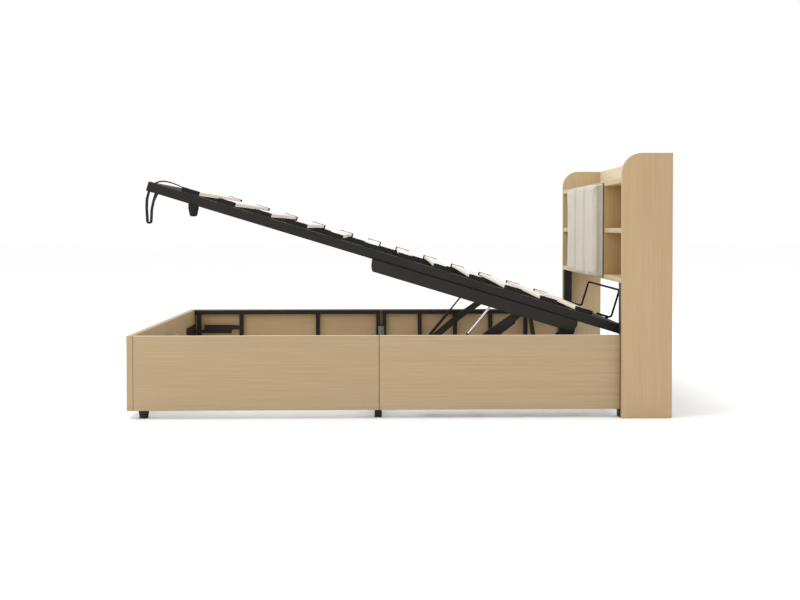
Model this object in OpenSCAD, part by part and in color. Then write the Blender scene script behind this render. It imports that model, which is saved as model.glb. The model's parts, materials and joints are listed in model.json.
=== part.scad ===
// Tatami platform bed with a lift-up slatted platform and a shelf headboard.
// Millimetres. +X runs along the bed to the headboard, +Y to the far side, +Z up.
// The origin is on the floor, in the middle of the bed's outline.
// The platform is drawn open, as it rests; it shuts flush with the panels.

/* [Overall] */
// Length over everything, foot panel to headboard back
bed_len = 2155; // [2100:5:2300]
// Width over the two side panels
base_w = 1384; // [1200:2:1900]
// Height of the headboard
head_h = 1050; // [1000:5:1200]

/* [Base box] */
// Gap from the floor to the panels
foot_h = 32; // [24:1:45]
// Height of the side and foot panels
panel_h = 296; // [285:1:330]
// Thickness of the side panels
panel_t = 15; // [12:0.5:18]
// Thickness of the foot panel
foot_t = 25; // [18:0.5:30]
// Square frame tube, across
tube = 20; // [16:1:25]
// Tops of the frame tubes below the panels
frame_drop = 4; // [0:0.5:6]
// Gap between neighbouring panels
seam_gap = 2; // [0.5:0.5:3]
// Length of the foot half of a side
foot_half = 970; // [800:5:1100]
// Joint between the two frame halves
half_gap = 12; // [8:1:20]

/* [Headboard] */
// Depth of the headboard
head_d = 200; // [170:5:260]
// Thickness of the headboard sides
head_t = 25; // [18:0.5:30]
// Thickness of the shelves and dividers
shelf_t = 20; // [15:0.5:25]
// Thickness of the back sheet
back_t = 5; // [3:0.5:9]
// Radius of the rounded front top corners
corner_r = 78; // [30:1:110]
// Underside of the bottom board
low_z = 535.5; // [520:0.5:560]
// Top board, down from the headboard top
top_drop = 98; // [80:1:120]
// Square of the head posts
post = 40; // [30:1:50]

/* [Pad] */
// Width of the padded panel
pad_w = 716; // [560:2:820]
// Thickness of the padding
pad_t = 38.5; // [24:0.5:48]
// Thickness of the panel behind the padding
pad_board = 3; // [2:0.5:12]
// Depth of the sewn channels
pad_groove = 9; // [3:0.5:12]

/* [Platform] */
// Rail section across the bed
rail_w = 20; // [18:1:30]
// Rail section upright
rail_h = 38; // [30:1:45]
// Wall of the rail tube
wall = 1.5; // [1.2:0.1:3]
// Slats in the row
slat_n = 12; // [8:1:16]
// Width of a slat
slat_w = 60; // [40:1:66]
// Thickness of a slat
slat_t = 15; // [8:0.5:15]
// Rise of a slat in its middle
slat_bow = 2; // [1:0.5:4]
// Width of a slat cap
cap_w = 70; // [68:1:85]
// Height of a slat cap
cap_h = 19; // [17:0.5:22]
// Foot end of the platform to the first cap
cap_margin = 134; // [110:1:160]
// Last cap to the head end of the platform
cap_end = 149; // [120:1:170]
// Rail tops below the panels when shut
recess = 28; // [24:1:34]
// Wire of the mattress hoop
hoop_w = 9; // [6:0.5:10]
// Height of the hoop's top wire over the rails
hoop_h = 133.5; // [100:0.5:150]
// Width of the mattress hoop
hoop_len = 700; // [500:5:900]
// Gap at the foot panel when shut
foot_gap = 13.5; // [8:0.5:25]
// Reach of the shut platform under the headboard
head_run = 86.5; // [60:0.5:120]

/* [Lift] */
// Slope of the open platform, degrees
tilt = 16.9; // [10:0.1:20]
// Swing of the main arms, degrees
arm_swing = 41.5; // [35:0.1:45]
// Swing of the rear links, degrees
link_swing = 59.8; // [52:0.1:70]
// Width of a main arm
arm_w = 32; // [24:1:38]
// Thickness of arms and links
arm_t = 5; // [4:0.5:6]
// Pivot pin
pin_d = 10; // [8:0.5:12]
// Running gap round a pin, per side
pin_gap = 0.06; // [0.04:0.01:0.1]
// Gas strut tube
strut_d = 15; // [13:0.5:18]
// Gas strut rod
rod_d = 9; // [6:0.5:10]

/* [Shown] */
// Sub-component to draw

/* [Hidden] */
$fn = 48;
WOOD = [0.80, 0.70, 0.56];
DARK = [0.21, 0.20, 0.18];
STEEL = [0.75, 0.76, 0.77];
CREAM = [0.94, 0.91, 0.86];
CLOTH = [0.79, 0.76, 0.72];

// box
x0 = -bed_len / 2;
x_in = x0 + foot_t;
x_end = bed_len / 2;
x_hb = x_end - head_d;
x_seam = x_in + foot_half;
base_top = foot_h + panel_h;
y_out = base_w / 2;
y_pan = y_out - panel_t;
y_frm = y_pan - tube;

// headboard
hb_in = y_out + 5.5;
post_gap = 0.5;
head_bar_w = 24;
head_bar_h = 40;
hb_out = hb_in + head_t;
top_z = head_h - top_drop;
mid_z = (low_z + top_z) / 2;
x_bk = x_end - back_t;
div_y = pad_w / 2 + 2 - shelf_t;
pad_z = low_z + 5.5;
pad_h = top_z - pad_z - 6;

// ends of the side panels, half a joint back
x_side = x_in + seam_gap / 2;
seam_a = x_seam - seam_gap / 2;
seam_b = x_seam + seam_gap / 2;

// rests, cleat and clamps
rest_drop = 78;
rest_leg = 230;
rest_low = 70;
rest_gap = 0.2;
cleat_w = 120;
cleat_h = 39.8;
cleat_lap = 24;
clamp_d = 31;
clamp_h = 47;
clamp_drop = 134;

// lanes across the bed, from the frame inwards, far side
base_t = 5;
sill_w = 40;
brace_w = 34;
lug_w = 22;
lug_run = 230;
lane = 4;
y_base = y_frm - base_t;
y_plt = y_base - 16;
plate_t = 4;
y_rail = y_plt - plate_t;
y_ri = y_rail - rail_w;
y_strut = y_rail - rail_w / 2;
y_arm1 = y_ri - lane;
y_arm0 = y_arm1 - arm_t;
y_brk1 = y_arm0 - 2 * lane;
y_brk0 = y_brk1 - base_t;

// frame uprights
stud_a = x_in + 12.5;
stud_b = x_seam - half_gap / 2 - tube;
studs_foot = [stud_a, stud_a + (stud_b - stud_a) * 0.235,
              stud_a + (stud_b - stud_a) * 0.662, stud_b];
stud_c = x_seam + half_gap / 2;
stud_d = x_hb - tube - 7;
studs_head = [for (i = [0 : 5]) stud_c + (stud_d - stud_c) * i / 5];

// platform, shut and open; points are [x, z]
function turn(p, a) = [p[0] * cos(a) + p[1] * sin(a), p[1] * cos(a) - p[0] * sin(a)];
function heading(p, q) = atan2(q[1] - p[1], q[0] - p[0]);
slat_seat = (cap_h - slat_t) / 2;
shut = [x_in + foot_gap, base_top - recess - rail_h];
plat_len = x_hb + head_run - shut[0];
arm_back = 577.5;
arm_low = 47;
pin_a = [x_hb - arm_back, base_top - arm_low];
arm_head = 407.8;
arm_drop = 11.4;
b_loc = [plat_len - arm_head, -arm_drop];
arm_len = norm(shut + b_loc - pin_a);
arm_open = heading(pin_a, shut + b_loc) + arm_swing;
pin_b = pin_a + arm_len * [cos(arm_open), sin(arm_open)];
plat = pin_b - turn(b_loc, tilt);
link_head = 228.6;
link_drop = 13.9;
c_loc = [plat_len - link_head, -link_drop];
pin_c = plat + turn(c_loc, tilt);
c_run = shut + c_loc - pin_c;
c_drop = 0.5 / tan(link_swing / 2);
pin_d0 = pin_c + c_run / 2 + [c_run[1], -c_run[0]] * c_drop;
strut_head = 544.6;
strut_drop = 28.9;
s_loc = [plat_len - strut_head, -strut_drop];
pin_s = plat + turn(s_loc, tilt);
strut_back = 793.5;
strut_up_from = 60;
pin_e = [x_hb - strut_back, foot_h + strut_up_from];
strut_len = norm(pin_s - pin_e);
strut_shut = norm(shut + s_loc - pin_e);
strut_up = heading(pin_e, pin_s);
rod_shown = 58.8;
rod_kept = 114;
bore_from = 84;
eye_d = 20;
eye_t = 8;
tube_len = strut_shut - rod_shown;
rod_in = strut_len - tube_len + rod_kept;
plate_foot = 1063;
plate_head = 227;
plate_a = plat_len - plate_foot;
plate_b = plat_len - plate_head;
plate_h = 47.5;
plate_lap = 3;
plate_r = 33;
slat_step = (plat_len - cap_margin - cap_end - cap_w) / (slat_n - 1);
head_tube_w = 40;
cross_tube_w = 30;
cross_s = cap_margin + floor(slat_n / 2) * slat_step + cap_w / 2;
cap_in = 22;
cap_back = 6;
bump_head = 258;
bump_a = plat_len - bump_head;
bump_len = 62;
bump_low = 78;
stop_z = shut[1] - bump_low;

// a flat X-Z shape between two distances from the middle, on one side
module side_plate(ya, yb, side) {
    translate([0, side > 0 ? yb : -ya, 0])
        rotate([90, 0, 0])
            linear_extrude(yb - ya)
                children();
}

// a box between two distances from the middle, on one side
module side_box(xa, xb, ya, yb, za, zb, side) {
    translate([xa, side > 0 ? ya : -yb, za])
        cube([xb - xa, yb - ya, zb - za]);
}

// a round along Y between two distances from the middle
module across(p, ya, yb, d, side) {
    translate([p[0], side > 0 ? yb : -ya, p[1]])
        rotate([90, 0, 0])
            cylinder(d = d, h = yb - ya);
}

// a flat bar, X-Z, with round ends a hair wider than its sides
module bar(p, q, w) {
    translate(p)
        circle(d = w + 0.6);
    translate(q)
        circle(d = w + 0.6);
    translate(p)
        rotate(heading(p, q))
            translate([0, -w / 2])
                square([norm(q - p), w]);
}

module on_platform() {
    translate([plat[0], 0, plat[1]])
        rotate([0, tilt, 0])
            children();
}

// ---- base box ----
module foot_panel() {
    color(WOOD)
        translate([x0, -y_out, foot_h])
            cube([foot_t, 2 * y_out, panel_h]);
}

module side_panel(xa, xb, side) {
    color(WOOD)
        side_box(xa, xb, y_pan, y_out, foot_h, base_top, side);
}

module frame_rails(side) {
    color(DARK)
        for (z = [foot_h, base_top - frame_drop - tube]) {
            side_box(x_in, x_seam - half_gap / 2, y_frm, y_pan, z, z + tube, side);
            side_box(x_seam + half_gap / 2, x_hb, y_frm, y_pan, z, z + tube, side);
        }
}

module frame_studs(side) {
    color(DARK)
        for (x = concat(studs_foot, studs_head))
            side_box(x, x + tube, y_frm, y_pan, foot_h + tube, base_top - frame_drop - tube, side);
}

// angle bracket in a foot corner, one leg on the frame and one on the panel
module corner_rest(side) {
    t = base_top - rest_drop;
    xs = studs_foot[1];
    color(DARK) {
        side_plate(y_base, y_frm, side)
            polygon([[x_in, t - 45], [xs - 38, t - 45], [xs - 38, t - 26],
                     [xs + tube, t - 22], [xs + tube, t - 6], [xs - 38, t],
                     [x_in + 50, t], [x_in + 50, t - 25], [x_in, t - 25]]);
        side_box(x_in, x_in + base_t, y_frm - rest_leg, y_base, t - rest_low, t + 2, side);
    }
}

// wooden cleat the shut platform's foot end sits on
module foot_cleat() {
    color(WOOD)
        translate([x_in, -cleat_w / 2, shut[1] - rest_gap - cleat_h])
            cube([foot_gap + cleat_lap, cleat_w, cleat_h]);
}

// round clamp over the joint of the two frame halves
module frame_couplers() {
    color([0.45, 0.44, 0.43])
        for (side = [-1, 1])
            intersection() {
                translate([x_seam, side * y_frm, base_top - clamp_drop])
                    cylinder(d = clamp_d, h = clamp_h);
                side_box(x_seam - 20, x_seam + 20, y_frm - 20, y_frm,
                         foot_h, base_top, side);
            }
}

module mid_cross_bar() {
    color(DARK)
        translate([stud_b, -y_frm, foot_h])
            cube([tube, 2 * y_frm, 2 * tube]);
}

module head_cross_bar() {
    color(DARK)
        translate([x_hb + (post - head_bar_w) / 2, -(hb_in - post_gap - post), foot_h + 30])
            cube([head_bar_w, 2 * (hb_in - post_gap - post), head_bar_h]);
}

module corner_feet() {
    color(DARK)
        for (side = [-1, 1])
            translate([x_in + 36, side * (y_frm + 4), 0])
                cylinder(d1 = 34, d2 = 42, h = foot_h);
}

module middle_feet() {
    color(DARK)
        for (side = [-1, 1])
            side_box(x_seam - 18, x_seam + 10, y_frm - 12, y_frm + 16, 0, foot_h, side);
}

module head_post(side) {
    color(DARK) {
        side_box(x_hb, x_hb + post, hb_in - post_gap - post, hb_in - post_gap, 0, low_z, side);
        side_box(x_hb - 6, x_hb + post + 6, hb_in - post_gap - post, hb_in - post_gap,
                 0, foot_h - 2, side);
    }
}

// ---- headboard ----
module headboard_side(side) {
    color(WOOD)
        side_plate(hb_in, hb_out, side)
            difference() {
                translate([x_hb, 0])
                    square([head_d, head_h]);
                translate([x_hb, head_h - corner_r])
                    difference() {
                        translate([-1, 0])
                            square([corner_r + 1, corner_r + 1]);
                        translate([corner_r, 0])
                            circle(r = corner_r, $fn = 96);
                    }
            }
}

module headboard_back() {
    color(WOOD)
        translate([x_bk, -hb_in, low_z])
            cube([back_t, 2 * hb_in, head_h - low_z]);
}

module shelf_board(za) {
    color(WOOD)
        translate([x_hb, -hb_in, za])
            cube([x_bk - x_hb, 2 * hb_in, shelf_t]);
}

module headboard_shelf(side) {
    color(WOOD)
        side_box(x_hb + 2, x_bk, div_y + shelf_t, hb_in, mid_z - shelf_t / 2,
                 mid_z + shelf_t / 2, side);
}

module headboard_divider(side) {
    color(WOOD)
        side_box(x_hb, x_bk, div_y, div_y + shelf_t, low_z + shelf_t,
                 top_z - shelf_t, side);
}

module pad_backing() {
    color(WOOD)
        translate([x_hb - pad_board, -pad_w / 2 - 3, pad_z])
            cube([pad_board, pad_w + 6, pad_h]);
}

// padded panel: three channels, crowned, with its edges drawn in
PY = 30;
PZ = 18;
PC = 10;
function ease(i, n) = sin(90 * (2 * i / n - 1));
function chan(i) = abs(ease(i % PC, PC));
function chan_y(i) =
    let (c = floor(i / PC), e = ease(i % PC, PC))
    i == PY ? pad_w / 2 : (pad_w / 3) * (c - 1 + e / 2);
function puff(i, j) =
    let (g = sqrt(max(0, 1 - pow(i == PY ? 1 : chan(i), 4))),
         h = sqrt(max(0, 1 - pow(abs(ease(j, PZ)), 6))),
         rim = i == 0 || i == PY || j == 0 || j == PZ)
    rim ? pad_t * 0.45 : pad_t * 0.45 + (pad_t * 0.55 - pad_groove) * h + pad_groove * g * h;
function draw_in(t) = 3 * (1 - t * t);
function front_pt(i, j) =
    let (y = chan_y(i), e = ease(j, PZ), q = y / (pad_w / 2))
    [x_hb - pad_board - puff(i, j),
     y - q * draw_in(e) * abs(q),
     pad_z + pad_h / 2 * (1 + e) - e * abs(e) * draw_in(q)];
function back_pt(i, j) =
    let (y = chan_y(i), e = ease(j, PZ))
    [x_hb - pad_board, y * 0.992, pad_z + pad_h / 2 * (1 + e * 0.988)];
NF = (PY + 1) * (PZ + 1);
rim_ij = concat([for (i = [0 : PY - 1]) [i, 0]], [for (j = [0 : PZ - 1]) [PY, j]],
                [for (i = [0 : PY - 1]) [PY - i, PZ]], [for (j = [0 : PZ - 1]) [0, PZ - j]]);
NR = len(rim_ij);
pad_pts = concat([for (j = [0 : PZ]) for (i = [0 : PY]) front_pt(i, j)],
                 [for (q = rim_ij) back_pt(q[0], q[1])],
                 [[x_hb - pad_board, 0, pad_z + pad_h / 2]]);
function fid(i, j) = j * (PY + 1) + i;
pad_tris = concat(
    [for (j = [0 : PZ - 1]) for (i = [0 : PY - 1]) [fid(i, j), fid(i + 1, j), fid(i + 1, j + 1)]],
    [for (j = [0 : PZ - 1]) for (i = [0 : PY - 1]) [fid(i, j), fid(i + 1, j + 1), fid(i, j + 1)]],
    [for (k = [0 : NR - 1]) let (m = (k + 1) % NR)
        [fid(rim_ij[k][0], rim_ij[k][1]), NF + k, fid(rim_ij[m][0], rim_ij[m][1])]],
    [for (k = [0 : NR - 1]) let (m = (k + 1) % NR)
        [fid(rim_ij[m][0], rim_ij[m][1]), NF + k, NF + m]],
    [for (k = [0 : NR - 1]) [NF + k, NF + NR, NF + (k + 1) % NR]]);

module pad_cushion() {
    color(CLOTH)
        polyhedron(points = pad_pts, faces = pad_tris, convexity = 6);
}

// ---- lift, fixed part ----
// spacer, shaft and head of a pivot standing outwards from the bracket
module pivot_out(p, y_hub0, y_hub1, side) {
    across(p, y_brk1 - 0.1, y_hub0 - 0.3, pin_d + 6, side);
    across(p, y_hub0 - 0.31, y_hub1 + 0.4, pin_d, side);
    across(p, y_hub1 + 0.39, y_hub1 + 2.6, pin_d + 6, side);
}

// bracket inside the platform rails, held to the frame uprights by feet
module lift_base(side) {
    zf = foot_h + 58;
    post_x = x_hb - 154.5;
    reach = min(pin_e[0] - 14, studs_head[1] + tube / 2);
    color(DARK) {
        side_plate(y_brk0, y_brk1, side) {
            bar([reach, zf], [post_x, zf], sill_w);
            bar([pin_e[0] - 12, zf], pin_a, brace_w);
            bar([pin_d0[0] - lug_run, zf], pin_d0, lug_w);
            bar([post_x, zf], [post_x - 30.7, base_top - 46], lug_w);
        }
        for (i = [1 : 4])
            lift_foot(studs_head[i], side);
        pivot_out(pin_a, y_arm0, y_arm1, side);
        pivot_out(pin_d0, y_arm0, y_arm1, side);
        pivot_out(pin_e, y_strut - 4, y_strut + 4, side);
        stop_tab(side);
    }
}

// spacer block and pad from the bracket to a frame upright
module lift_foot(x, side) {
    side_box(x, x + tube, y_brk1 - 0.1, y_base + 0.1, foot_h + 43, foot_h + 53, side);
    side_box(x - 3, x + tube + 3, y_base, y_frm, foot_h + 40, foot_h + 80, side);
}

// ledge under the bumper of the shut platform
module stop_tab(side) {
    xt = shut[0] + bump_a;
    side_box(xt + 2, xt + 34, y_brk0, y_rail - 2, stop_z - rest_gap - 4, stop_z - rest_gap, side);
}

module lift_bolts() {
    color(STEEL)
        for (side = [-1, 1])
            for (i = [1 : 4])
                across([studs_head[i] + tube / 2, foot_h + 66], y_base - 2.6, y_base, 13, side);
}

// ---- lift, moving parts ----
module arm_plate(p, q, w, side) {
    difference() {
        side_plate(y_arm0, y_arm1, side)
            bar(p, q, w);
        across(p, y_arm0 - 1, y_arm1 + 1, pin_d + 2 * pin_gap, side);
        children();
    }
}

module main_arm(side) {
    color(DARK)
        arm_plate(pin_a, pin_b, arm_w, side)
            across(pin_b, y_arm0 - 1, y_arm1 + 1, pin_d + 2 * pin_gap, side);
}

module rear_link(side) {
    color(DARK) {
        arm_plate(pin_d0, pin_c, lug_w, side);
        across(pin_c, y_arm1 - 0.1, y_rail - 18.5, pin_d, side);
    }
}

module along_strut(side) {
    translate([pin_e[0], side * y_strut, pin_e[1]])
        rotate([0, 90 - strut_up, 0])
            children();
}

module strut_cylinder(side) {
    color(DARK)
        difference() {
            union() {
                across(pin_e, y_strut - eye_t / 2, y_strut + eye_t / 2, eye_d, side);
                along_strut(side) {
                    translate([0, 0, 6])
                        cylinder(d = 8, h = 20);
                    translate([0, 0, 24])
                        cylinder(d = strut_d, h = tube_len - 24);
                }
            }
            across(pin_e, y_strut - 5, y_strut + 5, pin_d + 2 * pin_gap, side);
            along_strut(side)
                translate([0, 0, bore_from])
                    cylinder(d = rod_d + 2 * pin_gap, h = tube_len);
        }
}

module strut_rod(side) {
    color(STEEL) {
        along_strut(side)
            translate([0, 0, strut_len - rod_in])
                cylinder(d = rod_d, h = rod_in - 5);
        across(pin_s, y_strut - eye_t / 2, y_strut + eye_t / 2, eye_d, side);
        across(pin_s, y_strut, y_rail - 0.5, pin_d, side);
    }
}

// ---- platform ----
module platform_rail(side) {
    color(DARK)
        on_platform()
            difference() {
                side_box(0, plat_len, y_ri, y_rail, 0, rail_h, side);
                side_box(wall, plat_len + 1, y_ri + wall, y_rail - wall,
                         wall, rail_h - wall, side);
            }
}

// a hollow tube across the platform, between the rails
module cross_tube(xa, xb) {
    color(DARK)
        on_platform()
            difference() {
                translate([xa, -y_ri, 0])
                    cube([xb - xa, 2 * y_ri, rail_h]);
                translate([xa + wall, -y_ri - 1, wall])
                    cube([xb - xa - 2 * wall, 2 * y_ri + 2, rail_h - 2 * wall]);
            }
}

module lift_plate(side) {
    color(DARK)
        on_platform() {
            side_plate(y_rail, y_plt, side)
                plate_outline();
            across(b_loc, y_arm1 + 0.3, y_rail + 0.1, pin_d + 6, side);
            across(b_loc, y_arm0 - 0.4, y_arm1 + 0.31, pin_d, side);
            across(b_loc, y_arm0 - 2.6, y_arm0 - 0.39, pin_d + 6, side);
        }
}

// slanted foot end, round head end
module plate_outline() {
    polygon([[plate_a, plate_lap], [plate_a + 1.5, -8], [plate_a + 6, -30],
             [plate_a + 10, -38], [plate_a + 16, -plate_h], [plate_b, -plate_h],
             [plate_b, plate_lap]]);
    intersection() {
        translate([plate_b, plate_r - plate_h])
            circle(r = plate_r);
        translate([plate_b - 1, -plate_h])
            square([plate_r + 1, plate_h + plate_lap]);
    }
}

module rear_bumpers() {
    color(DARK)
        on_platform()
            for (side = [-1, 1])
                side_plate(y_rail - 18, y_rail, side)
                    bumper_outline();
}

module bumper_outline() {
    r = 12;
    translate([bump_a, -bump_low + r])
        square([bump_len, bump_low - r - 0.2]);
    translate([bump_a + r, -bump_low])
        square([bump_len - 2 * r, r]);
    for (x = [bump_a + r, bump_a + bump_len - r])
        translate([x, -bump_low + r])
            circle(r = r);
}

function bow(y) = slat_bow * (1 - pow(y / y_ri, 2));

module slats() {
    ys = y_rail - cap_back;
    seg = 16;
    top = [for (i = [0 : seg]) let (y = -ys + 2 * ys * i / seg) [y, bow(y) + slat_t]];
    low = [for (i = [0 : seg]) let (y = ys - 2 * ys * i / seg) [y, bow(y)]];
    color(CREAM)
        on_platform()
            for (i = [0 : slat_n - 1])
                translate([cap_margin + i * slat_step + (cap_w - slat_w) / 2, 0, rail_h + slat_seat])
                    rotate([90, 0, 90])
                        linear_extrude(slat_w)
                            polygon(concat(top, low));
}

// rubber sockets on the rail that hold the slat ends
module slat_caps(side) {
    color(DARK)
        on_platform()
            for (i = [0 : slat_n - 1])
                translate([cap_margin + i * slat_step, 0, rail_h])
                    difference() {
                        side_box(0, cap_w, y_rail - cap_in, y_rail, 0, cap_h, side);
                        side_box((cap_w - slat_w) / 2 - 0.3, (cap_w + slat_w) / 2 + 0.3,
                                 y_rail - cap_in - 1, y_rail - cap_back + 0.5, slat_seat - 0.4,
                                 slat_seat + slat_t + 0.8, side);
                    }
}

// wire hoop that keeps the mattress from sliding, head end
hoop_s = plat_len - 8;
hoop_pad = 5;
hoop_n = rail_h + hoop_pad + hoop_w / 2;
hoop_bend = 12;
hoop_foot = 65;

module head_hoop() {
    yh = hoop_len / 2;
    leg = rail_h + hoop_h - hoop_n - 2 * hoop_bend;
    color(DARK)
        on_platform() {
            for (side = [-1, 1])
                translate([hoop_s, side * yh, hoop_n]) {
                    translate([16 - head_tube_w, -5, rail_h - hoop_n])
                        cube([12, 10, hoop_pad + 1]);
                    translate([-hoop_foot, 0, 0])
                        rotate([0, 90, 0])
                            cylinder(d = hoop_w, h = hoop_foot - hoop_bend);
                    translate([-hoop_bend, 0, hoop_bend])
                        rotate([90, 90, 0])
                            wire_bend(hoop_bend, hoop_w);
                    translate([0, 0, hoop_bend])
                        cylinder(d = hoop_w, h = leg);
                    translate([0, -side * hoop_bend, hoop_bend + leg])
                        rotate([90, 0, side * 90])
                            wire_bend(hoop_bend, hoop_w);
                }
            translate([hoop_s, yh - hoop_bend, rail_h + hoop_h])
                rotate([90, 0, 0])
                    cylinder(d = hoop_w, h = 2 * (yh - hoop_bend));
        }
}

// quarter turn of round wire, from +X to +Y about the origin
module wire_bend(r, w) {
    rotate_extrude(angle = 90)
        translate([r, 0])
            circle(d = w, $fn = 24);
}

// low wire arch on the near rail, from its foot end to the first cap
module foot_hoop() {
    w = 4.5;
    end = 17.2;
    arc = [[24, 0], [32, 9], [42, 15.5], [54, 19.8], [66, 22], [79, 22.8],
           [91, 23], [103, 22.4], [114, 21.2], [124, 19.8], [cap_margin, end]];
    color(DARK)
        on_platform()
            side_plate(y_rail - 15, y_rail - 15 + w, -1)
                difference() {
                    translate([0, rail_h])
                        polygon(concat([for (p = arc) p], [[cap_margin, end - w]],
                                       [for (i = [9 : -1 : 1]) arc[i] - [0, w]],
                                       [[24 + w, 0]]));
                    translate([0, rail_h - 10])
                        square([cap_margin, 10]);
                }
}

// webbing loop to pull the platform down by, near side
module pull_strap() {
    color([0.22, 0.20, 0.18])
        translate([plat[0], 0, plat[1]])
            side_plate(y_ri - 3, y_rail - 1, -1)
                strap_outline();
}

// teardrop hanging from the rail's underside at two points
module strap_outline() {
    drop = 121;
    slope = tan(tilt);
    difference() {
        union() {
            translate([11, -drop])
                circle(r = 11);
            polygon([[0, -drop], [22, -drop], [24.5, -75], [31.5, -42], [45, -45 * slope],
                     [7, -7 * slope], [-1.5, -34], [-3, -68]]);
        }
        translate([11, -drop])
            circle(r = 4);
        polygon([[7, -drop], [15, -drop], [17.5, -75], [24.5, -42], [37.5, 0],
                 [14, 0], [5.7, -34], [4.2, -68]]);
    }
}

// tapered rubber peg under the near rail
module rail_peg() {
    color([0.14, 0.13, 0.12])
        difference() {
            translate([plat[0] + 187, -(y_ri + 10), plat[1]])
                rotate_extrude()
                    polygon([[0, -103], [10, -103], [15, -98.5], [20.5, -72],
                             [20.5, -44], [0, -44]]);
            on_platform()
                translate([0, -y_rail - 20, 0])
                    cube([plat_len / 2, rail_w + 40, 80]);
        }
}

foot_panel();
side_panel(x_side, seam_a, -1);  // side_panel_near_foot
side_panel(seam_b, x_hb, -1);  // side_panel_near_head
side_panel(x_side, seam_a, 1);  // side_panel_far_foot
side_panel(seam_b, x_hb, 1);  // side_panel_far_head
frame_rails(-1);  // frame_rails_near
frame_rails(1);  // frame_rails_far
frame_studs(-1);  // frame_studs_near
frame_studs(1);  // frame_studs_far
corner_rest(-1);  // corner_rest_near
corner_rest(1);  // corner_rest_far
foot_cleat();
frame_couplers();
mid_cross_bar();
head_cross_bar();
corner_feet();
middle_feet();
head_post(-1);  // head_post_near
head_post(1);  // head_post_far
headboard_side(-1);  // headboard_side_near
headboard_side(1);  // headboard_side_far
headboard_back();
shelf_board(top_z - shelf_t);  // headboard_top
shelf_board(low_z);  // headboard_bottom
headboard_shelf(-1);  // headboard_shelf_near
headboard_shelf(1);  // headboard_shelf_far
headboard_divider(-1);  // headboard_divider_near
headboard_divider(1);  // headboard_divider_far
pad_backing();
pad_cushion();
lift_base(-1);  // lift_base_near
lift_base(1);  // lift_base_far
lift_bolts();
main_arm(-1);  // main_arm_near
main_arm(1);  // main_arm_far
rear_link(-1);  // rear_link_near
rear_link(1);  // rear_link_far
strut_cylinder(-1);  // strut_cylinder_near
strut_cylinder(1);  // strut_cylinder_far
strut_rod(-1);  // strut_rod_near
strut_rod(1);  // strut_rod_far
platform_rail(-1);  // platform_rail_near
platform_rail(1);  // platform_rail_far
cross_tube(0, cross_tube_w);  // platform_foot_tube
cross_tube(plat_len - head_tube_w, plat_len);  // platform_head_tube
cross_tube(cross_s - cross_tube_w / 2, cross_s + cross_tube_w / 2);  // platform_cross_tube
lift_plate(-1);  // lift_plate_near
lift_plate(1);  // lift_plate_far
rear_bumpers();
slats();
slat_caps(-1);  // slat_caps_near
slat_caps(1);  // slat_caps_far
head_hoop();
foot_hoop();
pull_strap();
rail_peg();
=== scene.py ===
import json
import math
import random

import bmesh
import bpy
from mathutils import Matrix, Vector


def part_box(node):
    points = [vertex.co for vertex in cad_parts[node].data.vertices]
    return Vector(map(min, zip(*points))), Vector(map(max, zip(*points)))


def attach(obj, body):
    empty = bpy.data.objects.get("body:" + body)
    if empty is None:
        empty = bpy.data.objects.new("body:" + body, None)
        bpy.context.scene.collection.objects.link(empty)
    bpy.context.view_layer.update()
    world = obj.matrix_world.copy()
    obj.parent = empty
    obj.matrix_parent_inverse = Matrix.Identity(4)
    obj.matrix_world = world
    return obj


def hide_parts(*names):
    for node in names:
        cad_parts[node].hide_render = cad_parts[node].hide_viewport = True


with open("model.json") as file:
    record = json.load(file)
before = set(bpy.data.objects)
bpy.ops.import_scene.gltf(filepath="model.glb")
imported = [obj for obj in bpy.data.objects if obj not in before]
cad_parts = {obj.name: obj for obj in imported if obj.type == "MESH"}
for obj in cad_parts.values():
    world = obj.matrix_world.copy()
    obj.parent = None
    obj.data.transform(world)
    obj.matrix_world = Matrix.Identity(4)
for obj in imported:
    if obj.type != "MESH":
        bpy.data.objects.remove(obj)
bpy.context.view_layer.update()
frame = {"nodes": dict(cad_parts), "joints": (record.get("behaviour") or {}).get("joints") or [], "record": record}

NODES = frame["nodes"]
BODY_OF = {n: b for b, ns in frame["record"]["behaviour"]["bodies"].items() for n in ns}
PIVOT = {j["name"]: Vector(j["pos_m"]) for j in frame["joints"] if "pos_m" in j}
COLL = bpy.context.scene.collection
TILT = math.radians(16.9)  # the platform's slope at rest
SIDES = {"near": -1, "far": 1}

# ---------------------------------------------------------------- camera
# place, lens and shift are fitted to the straight edges in the photo
cam_data = bpy.data.cameras.new("camera")
cam = bpy.data.objects.new("camera", cam_data)
COLL.objects.link(cam)
cam.location = (-0.0486, -4.8983, 0.7543)
cam.rotation_euler = (math.radians(90) - 0.0228, 0.0, -0.0264)
cam_data.sensor_fit = "HORIZONTAL"
cam_data.sensor_width = 36.0
cam_data.lens = 47.883
cam_data.shift_x = -0.0197
cam_data.shift_y = -0.0599
cam_data.clip_end = 200.0
bpy.context.scene.camera = cam


# ---------------------------------------------------------------- materials
MIX_IN, MIXED = (0, 6, 7), 2  # a colour Mix node's factor and two colours, and its result
BANDS_1M = 0.314  # the scale at which a wave texture's bands lie 1 m apart


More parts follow.
